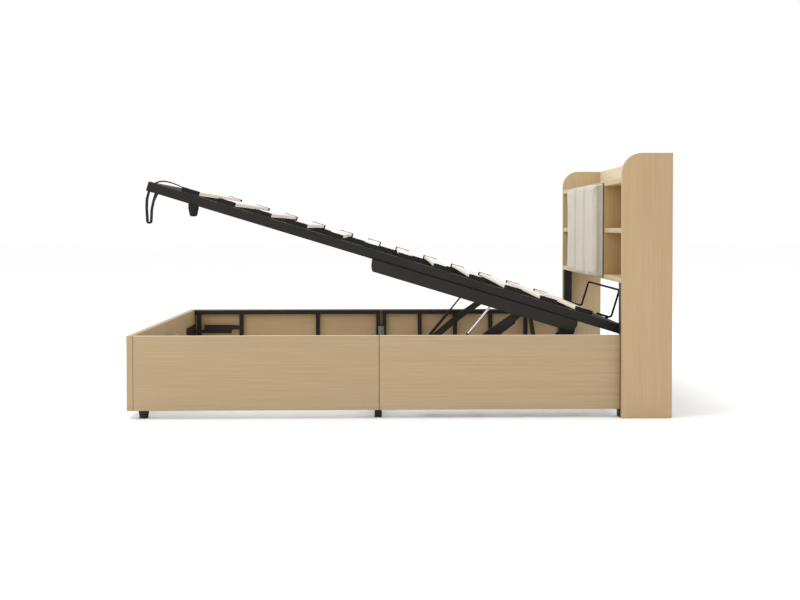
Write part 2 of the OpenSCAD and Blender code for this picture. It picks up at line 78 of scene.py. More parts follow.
class Mat:
    """A small helper round one Principled material."""

    def __init__(self, name, color, rough, metal=0.0, **sockets):
        self.mat = bpy.data.materials.new(name)
        self.mat.use_nodes = True
        self.nt = self.mat.node_tree
        self.nt.nodes.clear()
        self.bsdf = self.add("ShaderNodeBsdfPrincipled")
        self.link(self.bsdf, "BSDF", self.add("ShaderNodeOutputMaterial"), "Surface")
        self.bsdf.inputs["Base Color"].default_value = (*color, 1.0)
        self.bsdf.inputs["Roughness"].default_value = rough
        self.bsdf.inputs["Metallic"].default_value = metal
        for key, value in sockets.items():
            self.bsdf.inputs[key.replace("_", " ")].default_value = value

    def add(self, kind, **props):
        node = self.nt.nodes.new(kind)
        for key, value in props.items():
            setattr(node, key, value)
        return node

    def link(self, a, out, b, inp):
        self.nt.links.new(a.outputs[out], b.inputs[inp])

    def coords(self, scale=(1, 1, 1), shift=(0, 0, 0), rot=(0, 0, 0)):
        """The object's own coordinates in metres, mapped."""
        tex = self.add("ShaderNodeTexCoord")
        mp = self.add("ShaderNodeMapping")
        mp.inputs["Scale"].default_value = scale
        mp.inputs["Location"].default_value = shift
        mp.inputs["Rotation"].default_value = rot
        self.link(tex, "Object", mp, "Vector")
        return mp

    def noise(self, vec, scale, detail, rough, distort=0.0):
        n = self.add("ShaderNodeTexNoise")
        n.inputs["Scale"].default_value = scale
        n.inputs["Detail"].default_value = detail
        n.inputs["Roughness"].default_value = rough
        n.inputs["Distortion"].default_value = distort
        self.link(vec, "Vector", n, "Vector")
        return n

    def bands(self, vec, direction, pitch, distort, detail, detail_scale=1.0):
        """Bands across one direction, pitch metres apart."""
        n = self.add("ShaderNodeTexWave", wave_type="BANDS", bands_direction=direction)
        n.inputs["Scale"].default_value = BANDS_1M / pitch
        n.inputs["Distortion"].default_value = distort
        n.inputs["Detail"].default_value = detail
        n.inputs["Detail Scale"].default_value = detail_scale
        self.link(vec, "Vector", n, "Vector")
        return n

    def ramp(self, src, out, stops):
        """stops: (position, colour) pairs."""
        r = self.add("ShaderNodeValToRGB")
        els = r.color_ramp.elements
        while len(els) < len(stops):
            els.new(0.5)
        for el, (pos, col) in zip(els, stops):
            el.position = pos
            el.color = (*col, 1.0)
        self.link(src, out, r, "Fac")
        return r

    def grey(self, src, out, lo, hi, a=0.0, b=1.0):
        """A value that runs from a to b while the source runs from lo to hi."""
        return self.ramp(src, out, [(lo, (a, a, a)), (hi, (b, b, b))])

    def mix(self, kind, fac, a, b):
        """a and b are (node, output) pairs or colours; fac is a pair or a number."""
        m = self.add("ShaderNodeMix", data_type="RGBA", blend_type=kind)
        for value, sock in zip((fac, a, b), MIX_IN):
            if isinstance(value, tuple) and hasattr(value[0], "outputs"):
                self.link(*value, m, sock)
            else:
                m.inputs[sock].default_value = (*value, 1.0) if sock else value
        return m

    def color_from(self, node, out):
        self.link(node, out, self.bsdf, "Base Color")

    def rough_from(self, node, out):
        self.link(node, out, self.bsdf, "Roughness")

    def bump(self, layers):
        """layers: (node, output, strength, distance), stacked."""
        last = None
        for node, out, strength, dist in layers:
            b = self.add("ShaderNodeBump")
            b.inputs["Strength"].default_value = strength
            b.inputs["Distance"].default_value = dist
            self.link(node, out, b, "Height")
            if last:
                self.link(last, "Normal", b, "Normal")
            last = b
        self.link(last, "Normal", self.bsdf, "Normal")


def lerp(a, b, t):
    """The colour a share t of the way from a to b."""
    return tuple(x + (y - x) * t for x, y in zip(a, b))


def scaled(col, k):
    return tuple(c * k for c in col)


def wood(name, axis, base, seed, strength=1.0):
    """Light oak laminate: long soft figure, fine streaks and short pores along one axis."""
    m = Mat(name, base, rough=0.46)
    i = "XYZ".index(axis)

    def stretch(along, across):
        s = [across] * 3
        s[i] = along
        return tuple(s)

    shift = (seed * 3.7, seed * 5.1, seed * 2.3)
    figure = m.noise(m.coords(stretch(0.9, 9.0), shift), 1.6, 4.0, 0.55, 0.35)
    streak = m.noise(m.coords(stretch(2.6, 230.0), shift), 1.0, 5.0, 0.66)
    pores = m.noise(m.coords(stretch(16.0, 620.0), shift), 1.0, 2.0, 0.5)
    dark = scaled(base, 0.80)
    light = scaled(base, 1.08)
    warm = (base[0] * 0.86, base[1] * 0.80, base[2] * 0.70)
    body = m.ramp(figure, "Fac", [(0.25, lerp(base, dark, 0.30 * strength)),
                                  (0.50, base),
                                  (0.78, lerp(base, light, 0.6 * strength))])
    lines = m.grey(streak, "Fac", 0.40, 0.66)
    mixed = m.mix("MIX", (m.grey(streak, "Fac", 0.40, 0.62, 0.75 * strength, 0.0), "Color"),
                  (body, "Color"), warm)
    holes = m.grey(pores, "Fac", 0.30, 0.40, 0.30 * strength, 0.0)
    final = m.mix("MIX", (holes, "Color"), (mixed, MIXED), scaled(dark, 0.72))
    m.color_from(final, MIXED)
    m.rough_from(m.grey(streak, "Fac", 0.35, 0.7, 0.52, 0.42), "Color")
    m.bump([(lines, "Color", 0.10, 0.0006), (pores, "Fac", 0.12, 0.0003)])
    return m.mat


def coated(name, base, rough, seed, spec=0.16):
    """Powder-coated steel: fine orange peel, faint dust, tone drifting a little."""
    m = Mat(name, base, rough, Specular_IOR_Level=spec)
    vec = m.coords((1, 1, 1), (seed, seed, seed))
    drift = m.noise(vec, 5.0, 3.0, 0.6)
    peel = m.noise(vec, 900.0, 2.0, 0.5)
    scuff = m.noise(m.coords((3, 60, 60), (seed, 0, seed)), 3.0, 5.0, 0.7)
    body = m.ramp(drift, "Fac", [(0.3, scaled(base, 0.86)), (0.7, scaled(base, 1.16))])
    dust = m.mix("MIX", (m.grey(scuff, "Fac", 0.60, 0.80, 0.0, 0.22), "Color"),
                 (body, "Color"), scaled(base, 1.9))
    m.color_from(dust, MIXED)
    m.rough_from(m.grey(scuff, "Fac", 0.35, 0.75, rough - 0.06, rough + 0.10), "Color")
    m.bump([(peel, "Fac", 0.16, 0.0003)])
    return m.mat


def plastic(name, base, rough, seed):
    """Moulded plastic or rubber: fine spark texture and a soft mottle."""
    m = Mat(name, base, rough, Specular_IOR_Level=0.22)
    vec = m.coords((1, 1, 1), (seed, seed, seed))
    grain = m.noise(vec, 1500.0, 2.0, 0.6)
    mottle = m.noise(vec, 22.0, 4.0, 0.6)
    body = m.ramp(mottle, "Fac", [(0.3, scaled(base, 0.82)), (0.7, scaled(base, 1.22))])
    m.color_from(body, "Color")
    m.rough_from(m.grey(mottle, "Fac", 0.3, 0.7, rough - 0.05, rough + 0.08), "Color")
    m.bump([(grain, "Fac", 0.2, 0.0003)])
    return m.mat


def brushed(name, base, axis, rough, strength):
    """Drawn or turned metal, with fine lines running round or along it."""
    m = Mat(name, base, rough, metal=1.0)
    s = [700.0] * 3
    s["XYZ".index(axis)] = 10.0
    lines = m.noise(m.coords(tuple(s)), 1.0, 3.0, 0.6)
    film = m.noise(m.coords(), 14.0, 3.0, 0.6)
    body = m.ramp(film, "Fac", [(0.3, scaled(base, 0.88)), (0.75, base)])
    m.color_from(body, "Color")
    m.rough_from(m.grey(lines, "Fac", 0.3, 0.7, rough * 0.75, rough * 1.3), "Color")
    m.bump([(lines, "Fac", strength, 0.0002)])
    return m.mat


def fabric(name, base, pitch, seed=0.0, slub=0.12, sheen=0.35):
    """Close plain weave: crossed threads, slubs in the yarn, soft sheen."""
    m = Mat(name, base, rough=0.86, Sheen_Weight=sheen, Sheen_Roughness=0.45)
    vec = m.coords((1, 1, 1), (seed, seed, seed))
    warp, weft = (m.bands(vec, way, pitch, 0.6, 1.5, 2.0) for way in "YZ")
    weave = m.mix("MULTIPLY", 1.0, (warp, "Color"), (weft, "Color"))
    yarn = m.noise(m.coords((1, 30, 500), (seed, 0, 0)), 2.0, 4.0, 0.6)
    patch = m.noise(vec, 9.0, 3.0, 0.6)
    body = m.ramp(patch, "Fac", [(0.3, scaled(base, 0.93)), (0.72, scaled(base, 1.05))])
    thread = m.mix("MULTIPLY", 0.30, (body, "Color"), (weave, MIXED))
    slubs = m.mix("MIX", (m.grey(yarn, "Fac", 0.52, 0.72, 0.0, slub * 2), "Color"),
                  (thread, MIXED), scaled(base, 1.16))
    m.color_from(slubs, MIXED)
    m.bump([(patch, "Fac", 0.10, 0.002), (weave, MIXED, 0.35, pitch * 0.35)])
    return m.mat


OAK = (0.415, 0.308, 0.176)
OAK_UP = (0.560, 0.425, 0.240)
STEEL = (0.019, 0.016, 0.014)
VENEER = 0.0019
M = {
    "oak_x": wood("oak_along_x", "X", OAK, 1.0, 0.8),
    "oak_x2": wood("oak_along_x_2", "X", scaled(OAK, 1.02), 7.0, 0.8),
    "oak_y": wood("oak_along_y", "Y", OAK_UP, 2.0),
    "oak_z": wood("oak_upright", "Z", (0.475, 0.332, 0.183), 3.0, 0.6),
    "oak_z3": wood("oak_upright_3", "Z", (0.505, 0.380, 0.217), 9.0, 0.7),
    "oak_cleat": wood("oak_cleat", "Y", scaled(OAK, 0.70), 6.0),
    # painted shade: a darker oak for the near side boards' down-facing faces
    "oak_bottom_shade": wood("oak_lower_edge", "X", scaled(OAK, 0.55), 6.0, 0.5),
    "oak_x3": wood("oak_along_x_3", "X", (0.457, 0.317, 0.164), 2.0, 0.5),
    # painted highlight: a paler oak for the near side boards' up-facing faces
    "oak_top_highlight": wood("oak_edge_band", "X", (0.800, 0.700, 0.530), 6.0, 0.5),
    "oak_foot": wood("oak_along_y_end", "Y", (0.425, 0.305, 0.166), 4.0, 0.6),
    "oak_back": wood("oak_back_sheet", "Y", (0.690, 0.610, 0.430), 8.0, 0.8),
    "oak_z2": wood("oak_upright_2", "Z", (0.470, 0.325, 0.150), 5.0),
    "steel": coated("charcoal_coat", STEEL, 0.48, 0.0),
    "steel2": coated("charcoal_coat_lift", scaled(STEEL, 1.1), 0.45, 4.0),
    # painted highlight: a light grey for the near rail's upper outer bevel
    "steel_highlight": coated("charcoal_edge", (0.270, 0.258, 0.245), 0.40, 2.0),
    "wire": coated("wire_coat", (0.004, 0.0035, 0.0035), 0.60, 9.0, 0.05),
    "socket": plastic("socket_plastic", (0.016, 0.014, 0.013), 0.55, 1.0),
    "cap": plastic("cap_plastic", (0.0085, 0.0072, 0.0065), 0.70, 6.0),
    "pad_base": plastic("pad_base_cloth", (0.125, 0.092, 0.060), 0.85, 3.0),
    "rubber": plastic("black_rubber", (0.010, 0.009, 0.008), 0.72, 2.0),
    "clamp": coated("clamp_grey", (0.150, 0.147, 0.143), 0.34, 6.0, 0.5),
    # painted shade: the far strut's chromed rod, coloured dark
    "shaded_chrome": brushed("dark_rod", (0.10, 0.095, 0.09), "Y", 0.30, 0.05),
    "chrome": brushed("chromed_rod", (0.56, 0.545, 0.52), "Y", 0.12, 0.03),
    "bolt": brushed("zinc_bolt", (0.48, 0.48, 0.47), "Y", 0.30, 0.10),
    "pad": fabric("pad_weave", (0.632, 0.572, 0.475), 0.0011),
    "welt": fabric("pad_welt", (0.56, 0.51, 0.44), 0.0009, 5.0),
    # painted shade: the dark line in each seam's crease
    "seam": fabric("pad_seam", (0.27, 0.24, 0.20), 0.0009, 6.0),
    "web": fabric("webbing", (0.009, 0.008, 0.007), 0.0022, 3.0, 0.05, 0.02),
}


def slat_face():
    """Pale bent ply: faint flame along the slat and a clear lacquer."""
    m = Mat("slat_face", (0.74, 0.68, 0.62), rough=0.38, Coat_Weight=0.25, Coat_Roughness=0.25)
    long_grain = m.noise(m.coords((60, 1.6, 60), (1, 0, 2)), 1.0, 4.0, 0.6, 0.2)
    fine = m.noise(m.coords((400, 6, 400)), 1.0, 3.0, 0.6)
    tone = m.noise(m.coords((3.1, 0.5, 1.3), (5, 2, 1)), 1.4, 2.0, 0.5)
    body = m.ramp(long_grain, "Fac", [(0.3, (0.68, 0.625, 0.570)), (0.7, (0.76, 0.715, 0.670))])
    both = m.mix("MIX", (m.grey(tone, "Fac", 0.35, 0.7, 0.0, 0.25), "Color"),
                 (body, "Color"), (0.70, 0.635, 0.565))
    m.color_from(both, MIXED)
    m.bump([(fine, "Fac", 0.08, 0.0003)])
    return m.mat


def slat_edge():
    """The cut edge of a slat: thin veneers, alternately long and end grain."""
    m = Mat("slat_edge", (0.74, 0.63, 0.50), rough=0.6)
    ply = m.bands(m.coords(rot=(0.0, -TILT, 0.0)), "Z", VENEER, 0.5, 2.0)
    body = m.ramp(ply, "Color", [(0.25, (0.62, 0.52, 0.41)), (0.55, (0.80, 0.73, 0.64))])
    m.color_from(body, "Color")
    m.bump([(ply, "Color", 0.25, 0.0004)])
    return m.mat


M["slat_face"] = slat_face()
M["slat_edge"] = slat_edge()


# ---------------------------------------------------------------- mesh helpers
SAME_POINT = 2e-6
FLAT_UNDER = math.radians(0.6)
ROUNDED_OVER = math.radians(28)
SMOOTH_UNDER = math.radians(32)


def add_object(name, bm_or_mesh, mats, body, replace=(), smooth=True):
    """A visible piece on its body and the CAD nodes that it stands for."""
    if isinstance(bm_or_mesh, bmesh.types.BMesh):
        mesh = bpy.data.meshes.new(name)
        bm_or_mesh.normal_update()
        bm_or_mesh.to_mesh(mesh)
        bm_or_mesh.free()
    else:
        mesh = bm_or_mesh
    obj = bpy.data.objects.new(name, mesh)
    COLL.objects.link(obj)
    for mat in (mats if isinstance(mats, (list, tuple)) else [mats]):
        mesh.materials.append(mat)
    if smooth:
        mesh.polygons.foreach_set("use_smooth", [True] * len(mesh.polygons))
        mesh.set_sharp_from_angle(angle=SMOOTH_UNDER)
    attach(obj, body)
    if replace:
        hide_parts(*replace)
    return obj


def lo_hi(node):
    """The two corners of a CAD node's box at rest."""
    lo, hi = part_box(node)
    return Vector(lo), Vector(hi)


def cad_copy(node):
    """The CAD node's mesh, with doubled points merged and each flat face in one piece."""
    bm = bmesh.new()
    bm.from_mesh(NODES[node].data)
    bmesh.ops.remove_doubles(bm, verts=bm.verts, dist=SAME_POINT)
    bmesh.ops.dissolve_limit(bm, angle_limit=FLAT_UNDER, verts=bm.verts, edges=bm.edges)
    return bm


def soften(bm, width, segments=2):
    """Rounds the sharp edges."""
    edges = [e for e in bm.edges
             if len(e.link_faces) == 2 and e.calc_face_angle(0.0) > ROUNDED_OVER]
    if edges:
        bmesh.ops.bevel(bm, geom=edges, offset=width, offset_type="OFFSET", segments=segments,
                        profile=0.6, affect="EDGES", clamp_overlap=True)
    return bm


def dress(node, mat, width, segments, trims):
    """The CAD node's own shape, with its edges broken, in place of the node.

    trims: (material, test of a face's normal) pairs for edges of another tone; on the near side boards that tone
    is painted highlight and painted shade, on the near rail painted highlight."""
    bm = soften(cad_copy(node), width, segments)
    bm.normal_update()
    for face in bm.faces:
        hits = [k for k, (_, test) in enumerate(trims, 1) if test(face.normal)]
        face.material_index = hits[0] if hits else 0
    add_object(node + "_v", bm, [mat] + [m for m, _ in trims], BODY_OF[node], (node,))


def block(bm, centre, size, at=lambda x, y, z: Vector((x, y, z))):
    """A box in the world, or in the frame of reference that at() gives."""
    lo = [c - s / 2 for c, s in zip(centre, size)]
    hi = [c + s / 2 for c, s in zip(centre, size)]
    vs = [bm.verts.new(at(x, y, z))
          for z in (lo[2], hi[2]) for y in (lo[1], hi[1]) for x in (lo[0], hi[0])]
    for q in ((0, 2, 3, 1), (4, 5, 7, 6), (0, 1, 5, 4), (2, 6, 7, 3), (0, 4, 6, 2), (1, 3, 7, 5)):
        bm.faces.new([vs[k] for k in q])


def fillet(points, radius):
    """A path of straight runs with its corners rounded."""
    steps = 8
    most = 0.48  # the share of a straight run that one corner may take
    pts = [Vector(p) for p in points]
    out = [pts[0]]
    for a, b, c in zip(pts, pts[1:], pts[2:]):
        u, v = (a - b).normalized(), (c - b).normalized()
        half = u.angle(v) / 2
        reach = min(radius / math.tan(half), (a - b).length * most, (c - b).length * most)
        r = reach * math.tan(half)
        centre = b + (u + v).normalized() * (r / math.sin(half))
        p, q = b + u * reach, b + v * reach
        n = (p - centre).cross(q - centre).normalized()
        total = (p - centre).angle(q - centre)
        for k in range(steps + 1):
            out.append(centre + Matrix.Rotation(total * k / steps, 3, n) @ (p - centre))
    out.append(pts[-1])
    return out


def square_to(axis):
    """Two unit vectors at right angles to an axis and to each other."""
    ref = Vector((0, 0, 1)) if abs(axis.z) < 0.9 else Vector((1, 0, 0))
    u = axis.cross(ref).normalized()
    return u, axis.cross(u)


def circle(bm, centre, u, v, radius, sides):
    return [bm.verts.new(centre + (u * math.cos(a) + v * math.sin(a)) * radius)
            for a in (2 * math.pi * k / sides for k in range(sides))]


def skin(bm, rings):
    """Quads between neighbouring rings, and a face over each end."""
    sides = len(rings[0])
    for ra, rb in zip(rings, rings[1:]):
        for k in range(sides):
            bm.faces.new((ra[k], ra[(k + 1) % sides], rb[(k + 1) % sides], rb[k]))
    bm.faces.new(rings[0][::-1])
    bm.faces.new(rings[-1])


def tube(bm, path, radii, sides):
    """Sweeps a circle along a path without twisting; radii is one number or one per point."""
    path = [Vector(p) for p in path]
    last = len(path) - 1
    if not isinstance(radii, list):
        radii = [radii] * (last + 1)
    along = [(path[min(i + 1, last)] - path[max(i - 1, 0)]).normalized()
             for i in range(last + 1)]
    u, _ = square_to(along[0])
    rings = []
    for p, t, r in zip(path, along, radii):
        u = (u - t * u.dot(t)).normalized()
        rings.append(circle(bm, p, u, t.cross(u), r, sides))
    skin(bm, rings)


def lathe(bm, origin, axis, profile, sides):
    """A turned part: profile is [(distance along the axis, radius), ...]."""
    axis = Vector(axis).normalized()
    u, v = square_to(axis)
    skin(bm, [circle(bm, origin + axis * d, u, v, r, sides) for d, r in profile])


def hex_bolt(bm, centre, axis, across, height):
    """A flanged hexagon head with a chamfered top; across is measured over the flats."""
    corner = 0.577 * across
    lathe(bm, centre, axis, [(0, across * 0.74), (height * 0.22, across * 0.72),
                             (height * 0.30, across * 0.60)], 28)
    lathe(bm, centre, axis, [(height * 0.28, corner), (height * 0.86, corner),
                             (height, across * 0.50)], 6)


def weld(bm, a, b, radius, rng):
    """A weld bead with its ripples."""
    ripple = 0.0022
    n = max(6, int((b - a).length / ripple))
    radii = [radius * (0.78 + 0.22 * abs(math.sin(k * 1.9)) + rng.uniform(-0.05, 0.05))
             for k in range(n + 1)]
    radii[0] = radii[-1] = radius * 0.4
    tube(bm, [a.lerp(b, k / n) for k in range(n + 1)], radii, 8)


# ---------------------------------------------------------------- boards, steel and small parts
# the near side boards' up-facing faces are paler and their down-facing faces darker: painted highlight and painted
# shade
LIT_AND_SHADED_EDGES = ((M["oak_top_highlight"], lambda n: n.z > 0.3), (M["oak_bottom_shade"], lambda n: n.z < -0.3))
TRIMS = {"side_panel_near_foot": LIT_AND_SHADED_EDGES, "side_panel_near_head": LIT_AND_SHADED_EDGES,
         "headboard_back": ((M["oak_y"], lambda n: n.x > 0.5),),
         # the near rail's upper outer bevel, lighter as painted highlight
         "platform_rail_near": ((M["steel_highlight"], lambda n: n.z > 0.2 and n.y < -0.2),)}
# material, slot, width of the broken edges, segments across them, nodes
DRESSED = (
    ("oak_foot", "board", 0.0012, 2, "foot_panel"),
    ("oak_x", "board", 0.0016, 2, "side_panel_near_foot"),
    ("oak_x2", "board", 0.0016, 2, "side_panel_near_head"),
    ("oak_x3", "board", 0.0010, 2, "side_panel_far_foot", "side_panel_far_head"),
    ("oak_cleat", "board", 0.0020, 2, "foot_cleat"),
    ("oak_z", "board", 0.0012, 2, "headboard_side_near"),
    ("oak_z3", "board", 0.0012, 2, "headboard_side_far"),
    ("oak_back", "board", 0.0006, 2, "headboard_back"),
    ("oak_y", "board", 0.0010, 2, "headboard_top", "headboard_bottom", "headboard_shelf_near",
     "headboard_shelf_far"),
    ("oak_z2", "board", 0.0008, 2, "headboard_divider_near", "headboard_divider_far"),
    ("pad_base", "board", 0.0006, 2, "pad_backing"),
    ("steel", "frame_steel", 0.0016, 3, "frame_rails_near", "frame_rails_far",
     "frame_studs_near", "frame_studs_far", "mid_cross_bar", "head_cross_bar",
     "head_post_near", "head_post_far", "platform_rail_far", "platform_foot_tube",
     "platform_head_tube", "platform_cross_tube"),
    ("steel", "frame_steel", 0.0022, 3, "platform_rail_near"),
    ("steel2", "frame_steel", 0.0006, 2, "corner_rest_near", "corner_rest_far",
     "lift_base_near", "lift_base_far", "main_arm_near", "main_arm_far",
     "rear_link_near", "rear_link_far", "lift_plate_near", "lift_plate_far"),
    ("socket", "socket_plastic", 0.0030, 3, "corner_feet", "middle_feet"),
    ("clamp", "clamp_grey", 0.0012, 3, "frame_couplers"),
    ("cap", "socket_plastic", 0.0012, 2, "slat_caps_near", "slat_caps_far"),
    ("rubber", "rubber", 0.0030, 3, "rear_bumpers", "rail_peg"),
    ("bolt", "bolt_steel", 0.0004, 2, "lift_bolts"),
    ("web", "webbing", 0.0012, 2, "pull_strap"),
)
for mat, slot, width, segments, *nodes in DRESSED:
    for node in nodes:
        dress(node, M[mat], width, segments, TRIMS.get(node, ()))

# ---------------------------------------------------------------- platform frame of reference
P_LO, P_HI = lo_hi("platform_rail_near")
RAIL_H = 0.038
ALONG = Vector((math.cos(TILT), 0.0, -math.sin(TILT)))
UPWARD = Vector((math.sin(TILT), 0.0, math.cos(TILT)))
CORNER = Vector((P_LO.x, 0.0, P_HI.z - RAIL_H * math.cos(TILT)))
Y_OUT = -P_LO.y  # the rails' outer and inner faces
Y_IN = -P_HI.y
PLAT_LEN = (P_HI.x - P_LO.x - RAIL_H * math.sin(TILT)) / math.cos(TILT)


def on_plat(s, y, n):
    """A point s along the platform, y across, n above its rails' underside."""
    return CORNER + ALONG * s + UPWARD * n + Vector((0.0, y, 0.0))


# ---------------------------------------------------------------- slats
SLATS = 12
SLAT_W, SLAT_T, SLAT_LOW, SLAT_BOW = 0.060, 0.015, RAIL_H + 0.002, 0.002
SLAT_HALF = Y_OUT - 0.0062
SLAT_ROUND = 0.0035
SLAT_CUTS = 28
EDGE_LEVEL = 0.36 * SLAT_T  # faces nearer than this to mid-thickness show the cut edge
CAP_FIRST, CAP_LAST, CAP_W = 0.134, 0.149, 0.070
SLAT_STEP = (PLAT_LEN - CAP_FIRST - CAP_LAST - CAP_W) / (SLATS - 1)
SCREW_S, SCREW_Y, SCREW_N = (0.016, 0.054), Y_OUT - 0.0075, RAIL_H + 0.0184
SCREW = [(0, 0.0032), (0.0012, 0.0032), (0.0018, 0.0024), (0.0018, 0.0011), (0.0010, 0.0009)]


def slat(bm, s_mid):
    """A sprung slat: a section with rounded edges swept across, a little high in its middle."""
    section = []
    for cx, cz, start in ((1, 1, 0), (-1, 1, 90), (-1, -1, 180), (1, -1, 270)):
        for a in (math.radians(start + 30 * k) for k in range(4)):
            section.append((cx * (SLAT_W / 2 - SLAT_ROUND) + SLAT_ROUND * math.cos(a),
                            cz * (SLAT_T / 2 - SLAT_ROUND) + SLAT_ROUND * math.sin(a)))
    rings = []
    for i in range(SLAT_CUTS + 1):
        y = -SLAT_HALF + 2 * SLAT_HALF * i / SLAT_CUTS
        middle = SLAT_LOW + SLAT_T / 2 + SLAT_BOW * (1 - (y / SLAT_HALF) ** 2)
        rings.append([bm.verts.new(on_plat(s_mid + u, y, middle + v)) for u, v in section])
    m = len(section)
    for ra, rb in zip(rings, rings[1:]):
        for k in range(m):
            face = bm.faces.new((ra[k], rb[k], rb[(k + 1) % m], ra[(k + 1) % m]))
            level = (section[k][1] + section[(k + 1) % m][1]) / 2
            face.material_index = 1 if abs(level) < EDGE_LEVEL else 0
    for ring in (rings[0], rings[-1][::-1]):
        bm.faces.new(ring).material_index = 1


bm = bmesh.new()
for i in range(SLATS):
    slat(bm, CAP_FIRST + CAP_W / 2 + i * SLAT_STEP)
bmesh.ops.recalc_face_normals(bm, faces=bm.faces)
add_object("slats_v", bm, [M["slat_face"], M["slat_edge"]], "platform", ("slats",))

# screws in the top of each cap
for tag, side in SIDES.items():
    bm = bmesh.new()
    for i in range(SLATS):
        for s in SCREW_S:
            lathe(bm, on_plat(CAP_FIRST + i * SLAT_STEP + s, side * SCREW_Y, SCREW_N), UPWARD,
                  SCREW, 16)
    add_object("cap_rivets_" + tag, bm, M["socket"], "platform")

# ---------------------------------------------------------------- wires
WIRE_R = 0.0045
HOOP_S, HOOP_LOW, HOOP_TOP, HOOP_Y = PLAT_LEN - 0.008, 0.0475, 0.1715, 0.350
HOOP_LEG, HOOP_BEND = 0.065, 0.012
HOOP_PAD = (0.012, 0.010, 0.0056)
HOOP_PAD_S = PLAT_LEN - 0.032
HOOP_WELD_Y, HOOP_WELD_N = 0.0040, RAIL_H + 0.0054
HOOP = [(HOOP_S - HOOP_LEG, -HOOP_Y, HOOP_LOW), (HOOP_S, -HOOP_Y, HOOP_LOW),
        (HOOP_S, -HOOP_Y, HOOP_TOP), (HOOP_S, HOOP_Y, HOOP_TOP),
        (HOOP_S, HOOP_Y, HOOP_LOW), (HOOP_S - HOOP_LEG, HOOP_Y, HOOP_LOW)]
bm = bmesh.new()
tube(bm, fillet([on_plat(*p) for p in HOOP], HOOP_BEND), WIRE_R, 20)
for side in SIDES.values():
    rng = random.Random(11 + side)
    block(bm, (HOOP_PAD_S + HOOP_PAD[0] / 2, side * HOOP_Y, RAIL_H + HOOP_PAD[2] / 2), HOOP_PAD,
          on_plat)
    for dy in (-HOOP_WELD_Y, HOOP_WELD_Y):
        weld(bm, *(on_plat(s, side * HOOP_Y + dy, HOOP_WELD_N)
                   for s in (HOOP_PAD_S, HOOP_PAD_S + HOOP_PAD[0])), 0.0010, rng)
add_object("head_hoop_v", bm, M["wire"], "platform", ("head_hoop",))

ARCH_Y, ARCH_SEAT_S = -(Y_OUT - 0.01275), 0.0250
ARCH = [(0.0255, 0.0), (0.0325, 0.0070), (0.042, 0.0133), (0.054, 0.0176), (0.066, 0.0198),
        (0.079, 0.0206), (0.091, 0.0208), (0.103, 0.0202), (0.114, 0.0190), (0.124, 0.0176),
        (0.1345, 0.0156)]
ARCH_R = [0.0030 - 0.0001 * k for k in range(len(ARCH))]
ARCH_SEAT = [(0, 0.0046), (0.0012, 0.0044), (0.0030, 0.0030), (0.0034, 0.0022)]
bm = bmesh.new()
tube(bm, [on_plat(s, ARCH_Y, RAIL_H + n) for s, n in ARCH], ARCH_R, 16)
lathe(bm, on_plat(ARCH_SEAT_S, ARCH_Y, RAIL_H), UPWARD, ARCH_SEAT, 20)
add_object("foot_hoop_v", bm, M["wire"], "platform", ("foot_hoop",))

# ---------------------------------------------------------------- struts
STRUT_LEN, CYL_LEN = 0.46280, 0.30507
STRUT_Y = Y_OUT - 0.010
CYL_R, ROD_R = 0.0075, 0.0045
CYL_FROM, ROD_FROM = 0.0095, 0.2710  # from the foot eye up, and from the head eye down
EYE_BACK = 0.0040
# both rods are chromed; the far rod's dark material is painted shade
ROD_MAT = {"near": "chrome", "far": "shaded_chrome"}
# neck, shoulder, body, rolled groove, mouth
CYLINDER = [(0, 0.0040), (0.0150, 0.0040), (0.0155, 0.0062), (0.0170, 0.0071), (0.0185, CYL_R),
            (CYL_LEN - 0.0220, CYL_R), (CYL_LEN - 0.0214, 0.0070), (CYL_LEN - 0.0200, 0.0068),
            (CYL_LEN - 0.0186, 0.0070), (CYL_LEN - 0.0180, CYL_R), (CYL_LEN - 0.0115, CYL_R),
            (CYL_LEN - 0.0100, 0.0066), (CYL_LEN - 0.0096, 0.0054), (CYL_LEN - 0.0096, 0.0047),
            (CYL_LEN - 0.0180, 0.0046)]
FOOT_EYE = [(0, 0.0051), (0, 0.0094), (0.0006, 0.0100), (0.0074, 0.0100), (0.0080, 0.0094),
            (0.0080, 0.0051)]
# rod with a collar below its eye
ROD = [(0, 0.0038), (0.0006, ROD_R), (0.2560, ROD_R), (0.2562, 0.0054), (0.2574, 0.0056),
       (0.2620, 0.0056), (0.2632, 0.0048)]
# eye with the stud that goes into the lift plate
HEAD_EYE = [(0, 0.0070), (0, 0.0094), (0.0006, 0.0100), (0.0074, 0.0100), (0.0080, 0.0094),
            (0.0080, 0.0050), (0.0095, 0.0050), (0.0134, 0.0050)]
slide = Vector(next(j["axis"] for j in frame["joints"] if j["name"] == "near_strut_slide"))
slide.normalize()
for tag, side in SIDES.items():
    foot = PIVOT[tag + "_strut_turn"].copy()
    foot.y = side * STRUT_Y
    head = foot + slide * STRUT_LEN
    across = Vector((0.0, side, 0.0))
    for name, parts, mat, slot in (
            ("strut_cylinder", ((foot + slide * CYL_FROM, slide, CYLINDER, 40),
                                (foot - across * EYE_BACK, across, FOOT_EYE, 36)),
             "steel2", "frame_steel"),
            ("strut_rod", ((head - slide * ROD_FROM, slide, ROD, 32),
                           (head - across * EYE_BACK, across, HEAD_EYE, 36)),
             ROD_MAT[tag], "chrome")):
        bm = bmesh.new()
        for part in parts:
            lathe(bm, *part)
        bmesh.ops.recalc_face_normals(bm, faces=bm.faces)
        add_object(name + "_v_" + tag, bm, M[mat], name + "_" + tag, (name + "_" + tag,))

